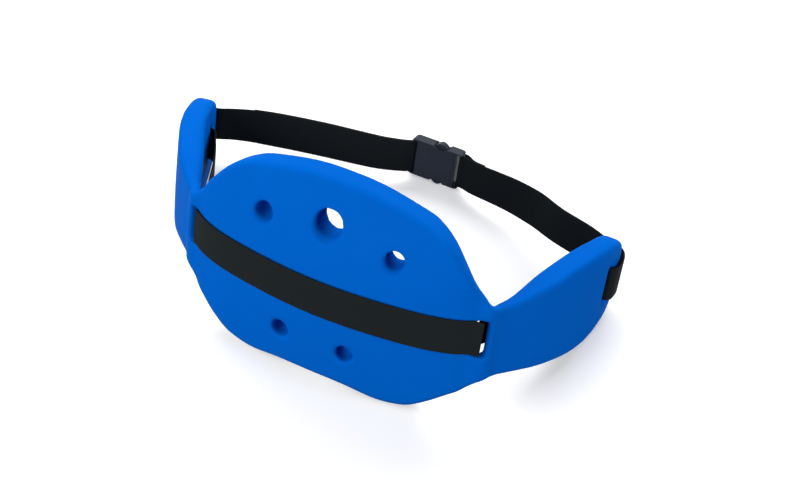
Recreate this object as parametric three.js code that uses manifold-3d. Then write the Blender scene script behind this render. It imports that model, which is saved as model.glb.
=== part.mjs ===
// Aqua jogging belt: a moulded foam float with a back panel and two wings, one woven strap threaded
// through its slots, and a side release buckle that closes the strap at the other side of the waist.
// Millimetres, +Z up, the panel's outer face towards -Y. The belt is drawn upright about the strap's
// middle line and is then leaned back onto its lower edges, as it stands on a table.
import * as THREE from "three";
import { mergeVertices } from "three/addons/utils/BufferGeometryUtils.js";
import Module from "manifold-3d";

// Float panel, right half: across and depth are the plan place of the middle surface, top and bottom
// the edges measured from the strap's middle line, thick the foam there. The last row is the hinge.
const PANEL_ROWS = [
  { across: 0, depth: 16.2, top: 113.6, bottom: -95, thick: 28.5 },
  { across: 34, depth: 17.8, top: 111.4, bottom: -96.2, thick: 28.5 },
  { across: 68, depth: 22.2, top: 104.2, bottom: -101.5, thick: 28.5 },
  { across: 95, depth: 26.7, top: 95.9, bottom: -98.5, thick: 27.5 },
  { across: 115, depth: 30.6, top: 84.1, bottom: -86.8, thick: 24.4 },
  { across: 133, depth: 35.4, top: 63.4, bottom: -73.9, thick: 18.9 },
  { across: 146, depth: 40.8, top: 45.2, bottom: -65.5, thick: 13.7 },
  { across: 159.1, depth: 43.8, top: 32.8, bottom: -52.8, thick: 11 },
];
const HINGE = PANEL_ROWS[PANEL_ROWS.length - 1];

// Float wing: along is the distance on the wing's straight chord from its start at the hinge, and out
// how far the foam's middle stands outside the wing's even curve.
const WING_START = { across: 155.4, depth: 47.1 };
const WING_ROWS = [
  { along: 13, out: 2.2, top: 30.2, bottom: -52.2, thick: 12 },
  { along: 32.6, out: 1.2, top: 32.3, bottom: -53.6, thick: 17 },
  { along: 65.3, out: 0, top: 40.1, bottom: -57.4, thick: 25.5 },
  { along: 102.8, out: 0, top: 46.7, bottom: -61.9, thick: 27 },
  { along: 130.5, out: 0, top: 46.4, bottom: -63, thick: 26.8 },
  { along: 150.3, out: 0, top: 43.7, bottom: -60.6, thick: 26 },
  { along: 170.1, out: 0, top: 40, bottom: -54.3, thick: 25 },
  { along: 184.5, out: 0, top: 34.1, bottom: -46.1, thick: 22.8 },
  { along: 193.2, out: 0, top: 22.6, bottom: -35, thick: 17.6 },
  { along: 197.5, out: 0, top: -8.6, bottom: -8.6, thick: 10 },
];
const WING_LENGTH = WING_ROWS[WING_ROWS.length - 1].along;
const RIGHT_WING = { heading: 74, bulge: 13.9 };
const LEFT_WING = { heading: 59.8, bulge: 15.4 };

// The section's edges are rounded, its outer face is crowned, and the panel curves back above and
// below the strap: by these amounts at the sweep's height, fading out towards the hinges.
const EDGE_RADIUS = 6;
const EDGE_SHARE = 0.45;
const CROWN = 0.06;
const SWEEP = { above: 19, below: 6.5, height: 100, full: 90, none: 156 };
const STEPS_PER_ROW = 3;
const CORNER_STEPS = 3;
const FACE_STEPS = 5;

// Vent holes through the panel, by their place across and above the strap's middle line.
const HOLES = [
  { across: 0, height: 72.8, diameter: 29.5 },
  { across: 66.8, height: 58.6, diameter: 19.5 },
  { across: -66.8, height: 58.6, diameter: 19.5 },
  { across: 34, height: -56.4, diameter: 17.5 },
  { across: -34, height: -56.4, diameter: 17.5 },
];
const HOLE_FLARE = 3;
const HOLE_SIDES = 16;
const FLARE_STEPS = 2;

// Slots for the strap at the hinges and near the wing tips, and the crease down each hinge.
const HINGE_SLOT = { inward: 6.2, width: 13.2, height: 41, corner: 2.5, level: -3.1 };
const TIP_SLOT = { along: 164, width: 9, height: 44, corner: 3, level: -5.5 };
const TIP_RECESS = { width: 14, height: 48, depth: 2.5, corner: 5, level: -5.5 };
const CREASE_RADIUS = 12;
const CREASE_DEPTH = 0.6;
const CREASE_SIDES = 12;
const CUT_PAST = 8;

// Strap: woven webbing, standing a little off the foam.
const STRAP_WIDTH = 38;
const FRONT_LEVEL = -0.85;
const STRAP_THICK = 1.6;
const STAND_OFF = 0.6;
const PLY_GAP = 0.4;
const STRAP_STEPS = 3;
// From the hinge slot to the wing's tip: along the wing, out from its middle surface, and the level.
const WING_ROUTE = [
  { along: -8, out: 6.4, level: -2.2 },
  { along: -5.5, out: -2, level: -3.2 },
  { along: 1.5, out: -10, level: -4.2 },
  { along: 22, out: -13, level: -5 },
  { along: 46, out: -17.4, level: -5.2 },
  { along: 76, out: -22.8, level: -5.3 },
  { along: 110, out: -25, level: -5.4 },
  { along: 138, out: -22, level: -5.5 },
  { along: 156.5, out: -18, level: -5.5 },
  { along: 162.2, out: -12, level: -5.5 },
  { along: 164, out: 0, level: -5.5 },
  { along: 165.8, out: 11.5, level: -5.5 },
  { along: 169.6, out: 15.4, level: -5.5 },
  { along: 177, out: 16, level: -5.4 },
  { along: 185, out: 15.2, level: -5.1 },
  { along: 192, out: 13.2, level: -4.6 },
  { along: 198.5, out: 9.8, level: -3.9 },
  { along: 202.6, out: 4.6, level: -3.2 },
  { along: 204, out: -2, level: -2.5 },
];
// Behind the waist, from each tip to the buckle: lean is how far back the upper edge stands.
const RIGHT_RUN = [
  { across: 200, depth: 244, lean: 1, level: -0.8 },
  { across: 178, depth: 252, lean: 5, level: 0 },
  { across: 156, depth: 258.7, lean: 7, level: 0.2 },
  { across: 143, depth: 263.1, lean: 7, level: 0.2 },
  { across: 129, depth: 269.6, lean: 8.2, level: 0.2 },
  { across: 114, depth: 277.4, lean: 9.4, level: 0.2 },
  { across: 100, depth: 282.5, lean: 9, level: 0.2 },
  { across: 78, depth: 288.2, lean: 6, level: 0.2 },
  { across: 55, depth: 291.3, lean: 2.8, level: 0.2 },
  { across: 40, depth: 292.8, lean: 1.5, level: 0.1 },
  { across: 27, depth: 295, lean: 1, level: 0 },
];
const LEFT_RUN = [
  { across: -247, depth: 219.8, lean: 0, level: -0.8 },
  { across: -230, depth: 229.4, lean: 1, level: 0 },
  { across: -213, depth: 238.2, lean: 4, level: 0.2 },
  { across: -190, depth: 246.7, lean: 6.5, level: 0.2 },
  { across: -165, depth: 254.6, lean: 7, level: 0.2 },
  { across: -133, depth: 263.4, lean: 7, level: 0.2 },
  { across: -100, depth: 271, lean: 5.5, level: 0.2 },
  { across: -76, depth: 277.3, lean: 3.5, level: 0.2 },
  { across: -61, depth: 283.8, lean: 1.5, level: 0.1 },
  { across: -51, depth: 289.4, lean: 0, level: 0 },
  { across: -45, depth: 293.8, lean: 0, level: 0 },
];
// The tail lies behind the left run from this point of it, and the sewn end behind the right run.
const TAIL_FROM = 2;
const SEWN_FROM = 9;

// Buckle: its middle plane, and the span of each half along the strap.
const BUCKLE_DEPTH = 301.2;
const SOCKET = {
  from: -48.5,
  to: 3.5,
  height: 43,
  thick: 13.5,
  corner: 6,
  mouthCorner: 1,
  bevel: 0.8,
};
const PLATE = { from: -40, thick: 2 };
const CAVITY = { from: -25, height: 38, thick: 8 };
const WINDOW = { from: -21.5, to: -4, inner: 15, dip: 3.6 };
const DIP_SIDES = 48;
const MOUTH = { to: -28.5, height: 39.4 };
const BAR = { thick: 3.6, width: 4, corner: 1.7, past: 1 };
const SOCKET_BAR_AT = -35;
const PLUG_BAR_AT = 12;
const PLUG = {
  from: -4,
  base: 3.9,
  to: 14,
  height: 43,
  thick: 13.1,
  corner: 6,
  baseCorner: 1,
  bevel: 0.8,
};
const STEM = { height: 37, thick: 7 };
const PLUG_WINDOW = { from: 6.7, height: 39.4 };
const PRONG = { to: -23.5, root: 11, belly: 20.4, tip: 13.5, wide: 5.5, thick: 6.2, bevel: 0.6 };
// Press pad, between the socket's plates: how far its far third and its near third rise over the
// socket's side, and how far it falls under that side next to the plug.
const PAD = { clear: 0.8, fall: 1.6, crest: 3, shoulder: 2.4, thick: 7.6, bevel: 0.8 };
const TONGUE = { to: -20, wide: 6, thick: 6.2 };
const PRONG_STEPS = 8;
const JOIN = 1;

// Lean and roll that set the float's lower edges down on the table.
const REST_LEAN = -16.09;
const REST_ROLL = -0.614;

const COLOURS = { foam: 0x0060c8, webbing: 0x1c2024, plastic: 0x272c38 };
const WELD = 1e-4;
const SHARE_STEP = 1e-7;
const ARC_STEPS = 4;
const UP = new THREE.Vector3(0, 0, 1);
const radians = THREE.MathUtils.degToRad;

const wasm = await Module();
wasm.setup();

// A closed three.js geometry as a solid that can be joined and cut.
function solid(geometry) {
  const bare = geometry.clone();
  bare.deleteAttribute("normal");
  bare.deleteAttribute("uv");
  const merged = mergeVertices(bare, WELD);
  const corners = merged.index.array;
  const triVerts = [];
  for (let i = 0; i < corners.length; i += 3) {
    const [a, b, c] = corners.slice(i, i + 3);
    if (a !== b && b !== c && c !== a) triVerts.push(a, b, c);
  }
  const vertProperties = merged.attributes.position.array;
  return new wasm.Manifold(
    new wasm.Mesh({ numProp: 3, vertProperties, triVerts: new Uint32Array(triVerts) }),
  );
}

// A named mesh of a finished solid.
function meshOf(name, body, material) {
  const { vertProperties, triVerts } = body.getMesh();
  const geometry = new THREE.BufferGeometry();
  geometry.setAttribute("position", new THREE.BufferAttribute(vertProperties, 3));
  geometry.setIndex(new THREE.BufferAttribute(triVerts, 1));
  geometry.computeVertexNormals();
  const mesh = new THREE.Mesh(geometry, material);
  mesh.name = name;
  return mesh;
}

// A closed skin through rings of equally many points, with a fan over each end.
function skin(rings) {
  const count = rings[0].length;
  const index = [];
  for (let ring = 0; ring + 1 < rings.length; ring++) {
    for (let i = 0; i < count; i++) {
      const next = (i + 1) % count;
      const [a, b] = [ring * count + i, ring * count + next];
      const [c, d] = [a + count, b + count];
      index.push(a, c, b, b, c, d);
    }
  }
  const last = (rings.length - 1) * count;
  for (let i = 1; i + 1 < count; i++) {
    index.push(0, i, i + 1);
    index.push(last, last + i + 1, last + i);
  }
  const geometry = new THREE.BufferGeometry().setFromPoints(rings.flat());
  geometry.setIndex(index);
  return geometry;
}

// A rectangle with round corners about the origin, width along X and height along Y.
function roundedRectangle(width, height, right, left = right) {
  const [x, y] = [width / 2, height / 2];
  const quarter = Math.PI / 2;
  const shape = new THREE.Shape();
  shape.absarc(x - right, y - right, right, 0, quarter);
  shape.absarc(left - x, y - left, left, quarter, 2 * quarter);
  shape.absarc(left - x, left - y, left, 2 * quarter, 3 * quarter);
  shape.absarc(x - right, right - y, right, 3 * quarter, 4 * quarter);
  return shape;
}

// Wing frame: a place on one wing's middle surface, or out from it along its outward normal.
function wingPlace(side, along, out) {
  const wing = side > 0 ? RIGHT_WING : LEFT_WING;
  const heading = radians(wing.heading);
  const share = along / WING_LENGTH;
  const bulge = 4 * wing.bulge * share * (1 - share);
  const slope = (4 * wing.bulge * (1 - 2 * share)) / WING_LENGTH;
  const stretch = Math.hypot(1, slope);
  const forward = along - (out * slope) / stretch;
  const aside = bulge + out / stretch;
  return new THREE.Vector2(
    side * (WING_START.across + forward * Math.cos(heading) + aside * Math.sin(heading)),
    WING_START.depth + forward * Math.sin(heading) - aside * Math.cos(heading),
  );
}

// The float's rows from the left tip to the right tip, and smooth curves through their columns.
function floatRows() {
  const half = (side) => [
    ...PANEL_ROWS.map((row) => ({ ...row, place: new THREE.Vector2(side * row.across, row.depth) })),
    ...WING_ROWS.map((row) => ({ ...row, place: wingPlace(side, row.along, row.out) })),
  ];
  return [...half(-1).slice(1).reverse(), ...half(1)];
}
const ROWS = floatRows();
const PLAN = new THREE.SplineCurve(ROWS.map((row) => row.place));
const EDGES = new THREE.SplineCurve(ROWS.map((row) => new THREE.Vector2(row.top, row.bottom)));
const FILL = new THREE.SplineCurve(ROWS.map((row) => new THREE.Vector2(row.thick, 0)));

// The float at a share of the way from the left tip to the right tip.
function floatAt(share) {
  const along = PLAN.getTangent(share);
  const { x: top, y: bottom } = EDGES.getPoint(share);
  return {
    place: PLAN.getPoint(share),
    along,
    outward: new THREE.Vector2(along.y, -along.x),
    top,
    bottom,
    thick: FILL.getPoint(share).x,
  };
}

// The share at which the panel's middle surface reaches a place across the belt.
function shareAcross(across) {
  let [low, high] = [0, 1];
  while (high - low > SHARE_STEP) {
    const middle = (low + high) / 2;
    if (PLAN.getPoint(middle).x < across) low = middle;
    else high = middle;
  }
  return low;
}

// A point of the float, out from its middle surface, with the panel's backward sweep.
function floatPoint(frame, out, height) {
  const x = frame.place.x + frame.outward.x * out;
  const y = frame.place.y + frame.outward.y * out;
  const fade = (SWEEP.none - Math.abs(x)) / (SWEEP.none - SWEEP.full);
  const back = (height > 0 ? SWEEP.above : SWEEP.below) * (height / SWEEP.height) ** 2;
  return new THREE.Vector3(x, y + back * THREE.MathUtils.clamp(fade, 0, 1), height);
}

// One section of the float: a slab with round corners whose outer face is crowned.
function floatSection(share) {
  const frame = floatAt(share);
  const half = frame.thick / 2;
  const middle = (frame.top + frame.bottom) / 2;
  const reach = Math.max(frame.top - frame.bottom, 0) / 2;
  const radius = Math.min(EDGE_RADIUS, EDGE_SHARE * frame.thick, EDGE_SHARE * 2 * reach);
  const ring = [];
  const add = (out, height) => {
    const crown = out > 0 && reach > 0 ? 1 - CROWN * ((height - middle) / reach) ** 2 : 1;
    ring.push(floatPoint(frame, out * crown, height));
  };
  const corners = [
    { out: 1, up: 1, start: 0 },
    { out: -1, up: 1, start: 90 },
    { out: -1, up: -1, start: 180 },
    { out: 1, up: -1, start: 270 },
  ];
  for (const { out, up, start } of corners) {
    for (let step = 0; step <= CORNER_STEPS; step++) {
      const angle = radians(start + (90 * step) / CORNER_STEPS);
      const height = middle + up * (reach - radius) + radius * Math.sin(angle);
      add(out * (half - radius) + radius * Math.cos(angle), height);
    }
    if (out === up) continue;
    for (let step = 1; step < FACE_STEPS; step++) {
      add(out * half, middle + up * (reach - radius) * (1 - (2 * step) / FACE_STEPS));
    }
  }
  return ring;
}

// A round cutter along a section's outward normal, flared where it leaves either face.
function holeCutter({ across, height, diameter }) {
  const frame = floatAt(shareAcross(across));
  const face = frame.thick / 2;
  const radius = diameter / 2;
  const profile = [new THREE.Vector2(0, -face - CUT_PAST)];
  profile.push(new THREE.Vector2(radius + HOLE_FLARE, -face - CUT_PAST));
  for (const end of [-1, 1]) {
    for (let step = 0; step <= FLARE_STEPS; step++) {
      const turn = end < 0 ? step : FLARE_STEPS - step;
      const angle = ((Math.PI / 2) * turn) / FLARE_STEPS;
      const flare = HOLE_FLARE * (1 - Math.sin(angle));
      const inset = HOLE_FLARE * (1 - Math.cos(angle));
      profile.push(new THREE.Vector2(radius + flare, end * (face - inset)));
    }
  }
  profile.push(new THREE.Vector2(radius + HOLE_FLARE, face + CUT_PAST));
  profile.push(new THREE.Vector2(0, face + CUT_PAST));
  const cutter = new THREE.LatheGeometry(profile, HOLE_SIDES);
  cutter.rotateZ(Math.atan2(-frame.outward.x, frame.outward.y));
  const centre = floatPoint(frame, 0, height);
  return cutter.translate(centre.x, centre.y, centre.z);
}

// A slot cutter through a section, moved along it, from one depth out of the middle surface to another.
function slotCutter(frame, { width, height, corner, level }, shift, from, to) {
  const cutter = new THREE.ExtrudeGeometry(roundedRectangle(width, height, corner), {
    depth: to - from,
    bevelEnabled: false,
    curveSegments: ARC_STEPS,
  });
  cutter.translate(shift, 0, from);
  const along = new THREE.Vector3(frame.along.x, frame.along.y, 0);
  const outward = new THREE.Vector3(frame.outward.x, frame.outward.y, 0);
  const seat = new THREE.Matrix4().makeBasis(along, UP, outward);
  seat.setPosition(frame.place.x, frame.place.y, level);
  return cutter.applyMatrix4(seat);
}

// An upright round cutter that leaves a shallow crease down the outer face.
function creaseCutter(frame) {
  const length = 2 * (HINGE.top - HINGE.bottom);
  const cutter = new THREE.CylinderGeometry(CREASE_RADIUS, CREASE_RADIUS, length, CREASE_SIDES);
  cutter.rotateX(Math.PI / 2);
  const out = frame.thick / 2 + CREASE_RADIUS - CREASE_DEPTH;
  const { x, y } = frame.place.clone().addScaledVector(frame.outward, out);
  return cutter.translate(x, y, 0);
}

function foamFloat() {
  const rings = [];
  const steps = STEPS_PER_ROW * (ROWS.length - 1);
  for (let step = 0; step <= steps; step++) rings.push(floatSection(step / steps));
  let body = solid(skin(rings));
  for (const hole of HOLES) body = body.subtract(solid(holeCutter(hole)));
  const middleRow = (ROWS.length - 1) / 2;
  for (const side of [-1, 1]) {
    const hinge = floatAt((middleRow + side * (PANEL_ROWS.length - 1)) / (ROWS.length - 1));
    const tip = floatAt(shareAcross(wingPlace(side, TIP_SLOT.along, 0).x));
    const face = tip.thick / 2;
    const inward = -side * HINGE_SLOT.inward;
    body = body.subtract(solid(creaseCutter(hinge)));
    body = body.subtract(solid(slotCutter(hinge, HINGE_SLOT, inward, -HINGE.thick, HINGE.thick)));
    body = body.subtract(solid(slotCutter(tip, TIP_SLOT, 0, -face - CUT_PAST, face + CUT_PAST)));
    const recess = slotCutter(tip, TIP_RECESS, 0, face - TIP_RECESS.depth, face + CUT_PAST);
    body = body.subtract(solid(recess));
  }
  return body;
}

// The strap's middle line and its lean, point by point from the free tail round the belt to the
// sewn end.
function strapRoute() {
  const knot = (x, y, level = 0, lean = 0) => ({ place: new THREE.Vector3(x, y, level), lean });
  const ply = STRAP_THICK + PLY_GAP;
  const wrap = BAR.thick / 2 + PLY_GAP + STRAP_THICK / 2;
  const turn = (at, side) => {
    const edge = at - side * (BAR.width / 2 + PLY_GAP + STRAP_THICK / 2);
    return [
      knot(at + side * BAR.width, BUCKLE_DEPTH - wrap),
      knot(at - (side * BAR.width) / 4, BUCKLE_DEPTH - wrap),
      knot(edge, BUCKLE_DEPTH),
      knot(at - (side * BAR.width) / 4, BUCKLE_DEPTH + wrap),
      knot(at + side * BAR.width, BUCKLE_DEPTH + wrap),
    ];
  };
  const behindWaist = (run, back) =>
    run.map(({ across, depth, level, lean }) => knot(across, depth + back, level, lean));
  const front = [];
  for (let row = 0; row < ROWS.length; row++) {
    if (ROWS[row].along !== undefined || ROWS[row].across === HINGE.across) continue;
    const frame = floatAt(row / (ROWS.length - 1));
    const out = frame.thick / 2 + STAND_OFF + STRAP_THICK / 2;
    const { x, y } = frame.place.clone().addScaledVector(frame.outward, out);
    front.push(knot(x, y, FRONT_LEVEL));
  }
  const wing = (side) =>
    WING_ROUTE.map(({ along, out, level }) => {
      const { x, y } = wingPlace(side, along, out);
      return knot(x, y, level);
    });
  // Each doubled end follows its run one ply further back.
  return [
    ...behindWaist(LEFT_RUN.slice(TAIL_FROM), ply),
    ...turn(SOCKET_BAR_AT, -1).reverse(),
    ...behindWaist(LEFT_RUN, 0).reverse(),
    ...wing(-1).reverse(),
    ...front,
    ...wing(1),
    ...behindWaist(RIGHT_RUN, 0),
    ...turn(PLUG_BAR_AT, 1),
    ...behindWaist(RIGHT_RUN.slice(SEWN_FROM), ply).reverse(),
  ];
}

function webbingStrap() {
  const route = strapRoute();
  const curve = new THREE.CatmullRomCurve3(route.map((knot) => knot.place), false, "centripetal");
  const leans = new THREE.SplineCurve(route.map((knot) => new THREE.Vector2(knot.lean, 0)));
  const steps = STRAP_STEPS * (route.length - 1);
  const rings = [];
  for (let step = 0; step <= steps; step++) {
    const { x, y, z } = curve.getPoint(step / steps);
    const lean = leans.getPoint(step / steps).x;
    const along = curve.getTangent(step / steps).setZ(0).normalize();
    const outward = new THREE.Vector3(along.y, -along.x, 0);
    const rise = Math.sqrt(STRAP_WIDTH ** 2 - lean ** 2) / 2;
    const corner = (out, up) =>
      new THREE.Vector3(x, y + (up * lean) / 2, z + up * rise).addScaledVector(
        outward,
        (out * STRAP_THICK) / 2,
      );
    rings.push([corner(1, 1), corner(-1, 1), corner(-1, -1), corner(1, -1)]);
  }
  return solid(skin(rings));
}

// A plate in the buckle's own plane: an outline over the strap's length and height, centred in depth.
function plate(shape, thick, bevel, depth = BUCKLE_DEPTH) {
  const geometry = new THREE.ExtrudeGeometry(shape, {
    depth: thick - 2 * bevel,
    bevelEnabled: bevel > 0,
    bevelSize: bevel,
    bevelThickness: bevel,
    bevelOffset: -bevel,
    bevelSegments: 1,
    curveSegments: ARC_STEPS,
  });
  geometry.translate(0, 0, bevel - thick / 2);
  geometry.rotateX(Math.PI / 2);
  return geometry.translate(0, depth, 0);
}

// A block between two places along the strap, centred in height and depth.
function block(from, to, height, thick, right = 0, left = right, bevel = 0) {
  const geometry = right
    ? plate(roundedRectangle(to - from, height, right, left), thick, bevel)
    : new THREE.BoxGeometry(to - from, thick, height).translate(0, BUCKLE_DEPTH, 0);
  return solid(geometry.translate((from + to) / 2, 0, 0));
}

// The bar that a strap end goes round, held between the two sides.
function strapBar(at, height) {
  const bar = plate(roundedRectangle(BAR.width, BAR.thick, BAR.corner), height, 0, 0);
  bar.rotateX(Math.PI / 2);
  return solid(bar.translate(at, BUCKLE_DEPTH, 0));
}

// The circle that dips into the socket's plates at a side window, grown or shrunk by a clearance.
function dipCircle(up, clear) {
  const wide = WINDOW.to - WINDOW.from;
  const radius = (wide * wide) / (8 * WINDOW.dip) + WINDOW.dip / 2;
  const height = SOCKET.height / 2 - WINDOW.dip + radius;
  const round = radius - clear;
  const dip = new THREE.CylinderGeometry(round, round, SOCKET.thick + CUT_PAST, DIP_SIDES);
  return solid(dip.translate((WINDOW.from + WINDOW.to) / 2, BUCKLE_DEPTH, up * height));
}

function buckleSocket() {
  const { from, to, height, thick, corner, mouthCorner, bevel } = SOCKET;
  let body = block(from, to, height, thick, mouthCorner, corner, bevel);
  body = body.subtract(block(CAVITY.from, to + CUT_PAST, CAVITY.height, CAVITY.thick));
  // The side windows let the prongs out, and dip into both plates where the fingers press.
  for (const up of [-1, 1]) {
    const gap = new THREE.BoxGeometry(WINDOW.to - WINDOW.from, CAVITY.thick, height);
    gap.translate((WINDOW.from + WINDOW.to) / 2, BUCKLE_DEPTH, up * (WINDOW.inner + height / 2));
    body = body.subtract(solid(gap)).subtract(dipCircle(up, 0));
  }
  // The strap goes in over the left end, behind the inner plate and round the bar.
  const inside = thick - 2 * PLATE.thick;
  const notch = block(from - CUT_PAST, PLATE.from, MOUTH.height, thick);
  body = body.subtract(block(from - CUT_PAST, MOUTH.to, MOUTH.height, inside));
  body = body.subtract(notch.translate(0, -PLATE.thick, 0));
  return body.add(strapBar(SOCKET_BAR_AT, MOUTH.height + 2 * BAR.past));
}

// One side of the plug: a springy prong whose belly stands in the socket's window.
function prong(up) {
  const { to, root, belly, tip, wide, thick, bevel } = PRONG;
  const middle = (WINDOW.from + WINDOW.to) / 2;
  const outer = new THREE.SplineCurve([
    new THREE.Vector2(PLUG.from + JOIN, up * (root + wide)),
    new THREE.Vector2(WINDOW.to - JOIN, up * (belly - 2 * JOIN)),
    new THREE.Vector2(middle, up * belly),
    new THREE.Vector2(WINDOW.from + JOIN, up * (belly - 2 * JOIN)),
    new THREE.Vector2(to, up * tip),
  ]).getPoints(PRONG_STEPS);
  const inner = [
    new THREE.Vector2(to, up * (tip - wide / 2)),
    new THREE.Vector2(middle, up * (belly - wide - JOIN)),
    new THREE.Vector2(PLUG.from + JOIN, up * root),
  ];
  const outline = [...outer, ...inner];
  if (THREE.ShapeUtils.isClockWise(outline)) outline.reverse();
  return solid(plate(new THREE.Shape(outline), thick, bevel));
}

// The pad at a prong's belly that fills the dip in the socket's side and stands a little proud.
function pressPad(up) {
  const { clear, fall, crest, shoulder, thick, bevel } = PAD;
  const [from, to] = [WINDOW.from + 2 * clear, WINDOW.to - 2 * clear];
  const edge = SOCKET.height / 2;
  const third = (to - from) / 3;
  const arch = new THREE.SplineCurve([
    new THREE.Vector2(from, up * edge),
    new THREE.Vector2(from + third, up * (edge + crest)),
    new THREE.Vector2(to - third, up * (edge + shoulder)),
    new THREE.Vector2(to, up * (edge - fall)),
  ]).getPoints(PRONG_STEPS);
  const foot = up * (edge - 2 * WINDOW.dip);
  const outline = [...arch, new THREE.Vector2(to, foot), new THREE.Vector2(from, foot)];
  if (THREE.ShapeUtils.isClockWise(outline)) outline.reverse();
  return solid(plate(new THREE.Shape(outline), thick, bevel)).intersect(dipCircle(up, clear / 2));
}

function bucklePlug() {
  const { from, base, to, height, thick, corner, baseCorner, bevel } = PLUG;
  const outer = block(base, to, height, thick, corner, baseCorner, bevel);
  const bar = strapBar(PLUG_BAR_AT, PLUG_WINDOW.height + 2 * BAR.past).intersect(outer);
  const window = block(PLUG_WINDOW.from, to + CUT_PAST, PLUG_WINDOW.height, thick + CUT_PAST);
  let body = outer.subtract(window).add(bar);
  body = body.add(block(from, base + JOIN, STEM.height, STEM.thick));
  for (const up of [-1, 1]) body = body.add(prong(up)).add(pressPad(up));
  return body.add(block(TONGUE.to, from + JOIN, TONGUE.wide, TONGUE.thick));
}

const foam = new THREE.MeshStandardMaterial({ color: COLOURS.foam, roughness: 0.6, metalness: 0 });
const webbing = new THREE.MeshStandardMaterial({ color: COLOURS.webbing, roughness: 0.9, metalness: 0 });
const plastic = new THREE.MeshStandardMaterial({ color: COLOURS.plastic, roughness: 0.4, metalness: 0 });

const belt = new THREE.Group();
belt.add(meshOf("foam_float", foamFloat(), foam));
belt.add(meshOf("webbing_strap", webbingStrap(), webbing));
belt.add(meshOf("buckle_socket", buckleSocket(), plastic));
belt.add(meshOf("buckle_plug", bucklePlug(), plastic));

// Lean the belt onto its lower edges and put the middle of its base at the origin.
belt.rotation.set(radians(REST_LEAN), radians(REST_ROLL), 0);
const box = new THREE.Box3().setFromObject(belt, true);
const centre = box.getCenter(new THREE.Vector3());
belt.position.set(-centre.x, -centre.y, -box.min.z);

const root = new THREE.Group();
root.add(belt);
export default root;
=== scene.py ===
"""Looks of an aqua jogging belt: a moulded foam float, a woven strap and a side release buckle."""

import math

import bmesh
import bpy
import numpy as np
from mathutils import Matrix, Vector


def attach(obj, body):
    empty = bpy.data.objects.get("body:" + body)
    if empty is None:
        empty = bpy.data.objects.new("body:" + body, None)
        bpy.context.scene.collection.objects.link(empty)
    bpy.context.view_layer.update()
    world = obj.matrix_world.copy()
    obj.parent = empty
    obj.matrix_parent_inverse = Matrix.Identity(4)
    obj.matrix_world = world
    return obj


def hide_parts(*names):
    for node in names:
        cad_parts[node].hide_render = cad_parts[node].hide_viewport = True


bl_info = {
    "name": "Aqua jogging belt",
    "version": (1, 0, 0),
    "blender": (4, 5, 0),
    "location": "View3D > Sidebar > Belt",
    "description": "Models the foam float, the webbing strap and the buckle of an aqua jogging belt",
    "category": "Add Mesh",
}

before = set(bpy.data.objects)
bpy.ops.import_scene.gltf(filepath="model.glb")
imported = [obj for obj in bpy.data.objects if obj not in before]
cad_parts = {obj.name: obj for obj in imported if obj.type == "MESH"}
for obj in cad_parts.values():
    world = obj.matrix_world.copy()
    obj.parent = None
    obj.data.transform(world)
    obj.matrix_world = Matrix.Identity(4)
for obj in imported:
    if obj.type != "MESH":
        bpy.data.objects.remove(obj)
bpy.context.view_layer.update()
MM = 0.001

# Float panel from the middle to the hinge, in millimetres: across, depth, top, bottom, thick.
PANEL_ROWS = (
    (0, 16.2, 113.6, -95, 28.5),
    (34, 17.8, 111.4, -96.2, 28.5),
    (68, 22.2, 104.2, -101.5, 28.5),
    (95, 26.7, 95.9, -98.5, 27.5),
    (115, 30.6, 84.1, -86.8, 24.4),
    (133, 35.4, 63.4, -73.9, 18.9),
    (146, 40.8, 45.2, -65.5, 13.7),
    (159.1, 43.8, 32.8, -52.8, 11),
)
HINGE_TOP, HINGE_BOTTOM, HINGE_THICK = PANEL_ROWS[-1][2:]
# Float wing from the hinge to the tip: along its chord, out from its even curve, top, bottom, thick.
WING_ROWS = (
    (13, 2.2, 30.2, -52.2, 12),
    (32.6, 1.2, 32.3, -53.6, 17),
    (65.3, 0, 40.1, -57.4, 25.5),
    (102.8, 0, 46.7, -61.9, 27),
    (130.5, 0, 46.4, -63, 26.8),
    (150.3, 0, 43.7, -60.6, 26),
    (170.1, 0, 40, -54.3, 25),
    (184.5, 0, 34.1, -46.1, 22.8),
    (193.2, 0, 22.6, -35, 17.6),
    (197.5, 0, -8.6, -8.6, 10),
)
WING_LENGTH = WING_ROWS[-1][0]
# Start of the wings' chords, and heading and bulge of the right wing and of the left one.
WING_ACROSS, WING_DEPTH = 155.4, 47.1
WINGS = {1: (math.radians(74), 13.9), -1: (math.radians(59.8), 15.4)}
# Fall of the outer face towards its edges, and the most of a thin section that its corners take up.
CROWN = 0.06
EDGE_SHARE = 0.45
# Backward sweep of the panel above and below the strap, the height it is given at, and where it fades.
SWEEP_ABOVE, SWEEP_BELOW, SWEEP_HEIGHT, SWEEP_FULL, SWEEP_NONE = 19, 6.5, 100, 90, 156
# Fineness of the float's skin: rings between rows, and steps round a corner, up a face and over a rim.
RINGS_PER_ROW = 10
CORNER_STEPS = 8
FACE_STEPS = 24
RIM_STEPS = 4
SMALLEST_REACH = 1e-6
# Strength and rounds of the moulded skin's smoothing.
SMOOTH_FACTOR, SMOOTH_ROUNDS = 0.5, 10
# Share of the float's length over which its direction is taken, and halvings in the search for a place.
DIRECTION_STEP = 1e-4
HALVINGS = 40

# Vent holes: across, height, diameter.
HOLES = (
    (0, 72.8, 28),
    (66.8, 58.6, 19.5),
    (-66.8, 58.6, 19.5),
    (34, -56.4, 17.5),
    (-34, -56.4, 17.5),
)
HOLE_SIDES = 64
FLARE_STEPS = 6
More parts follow.
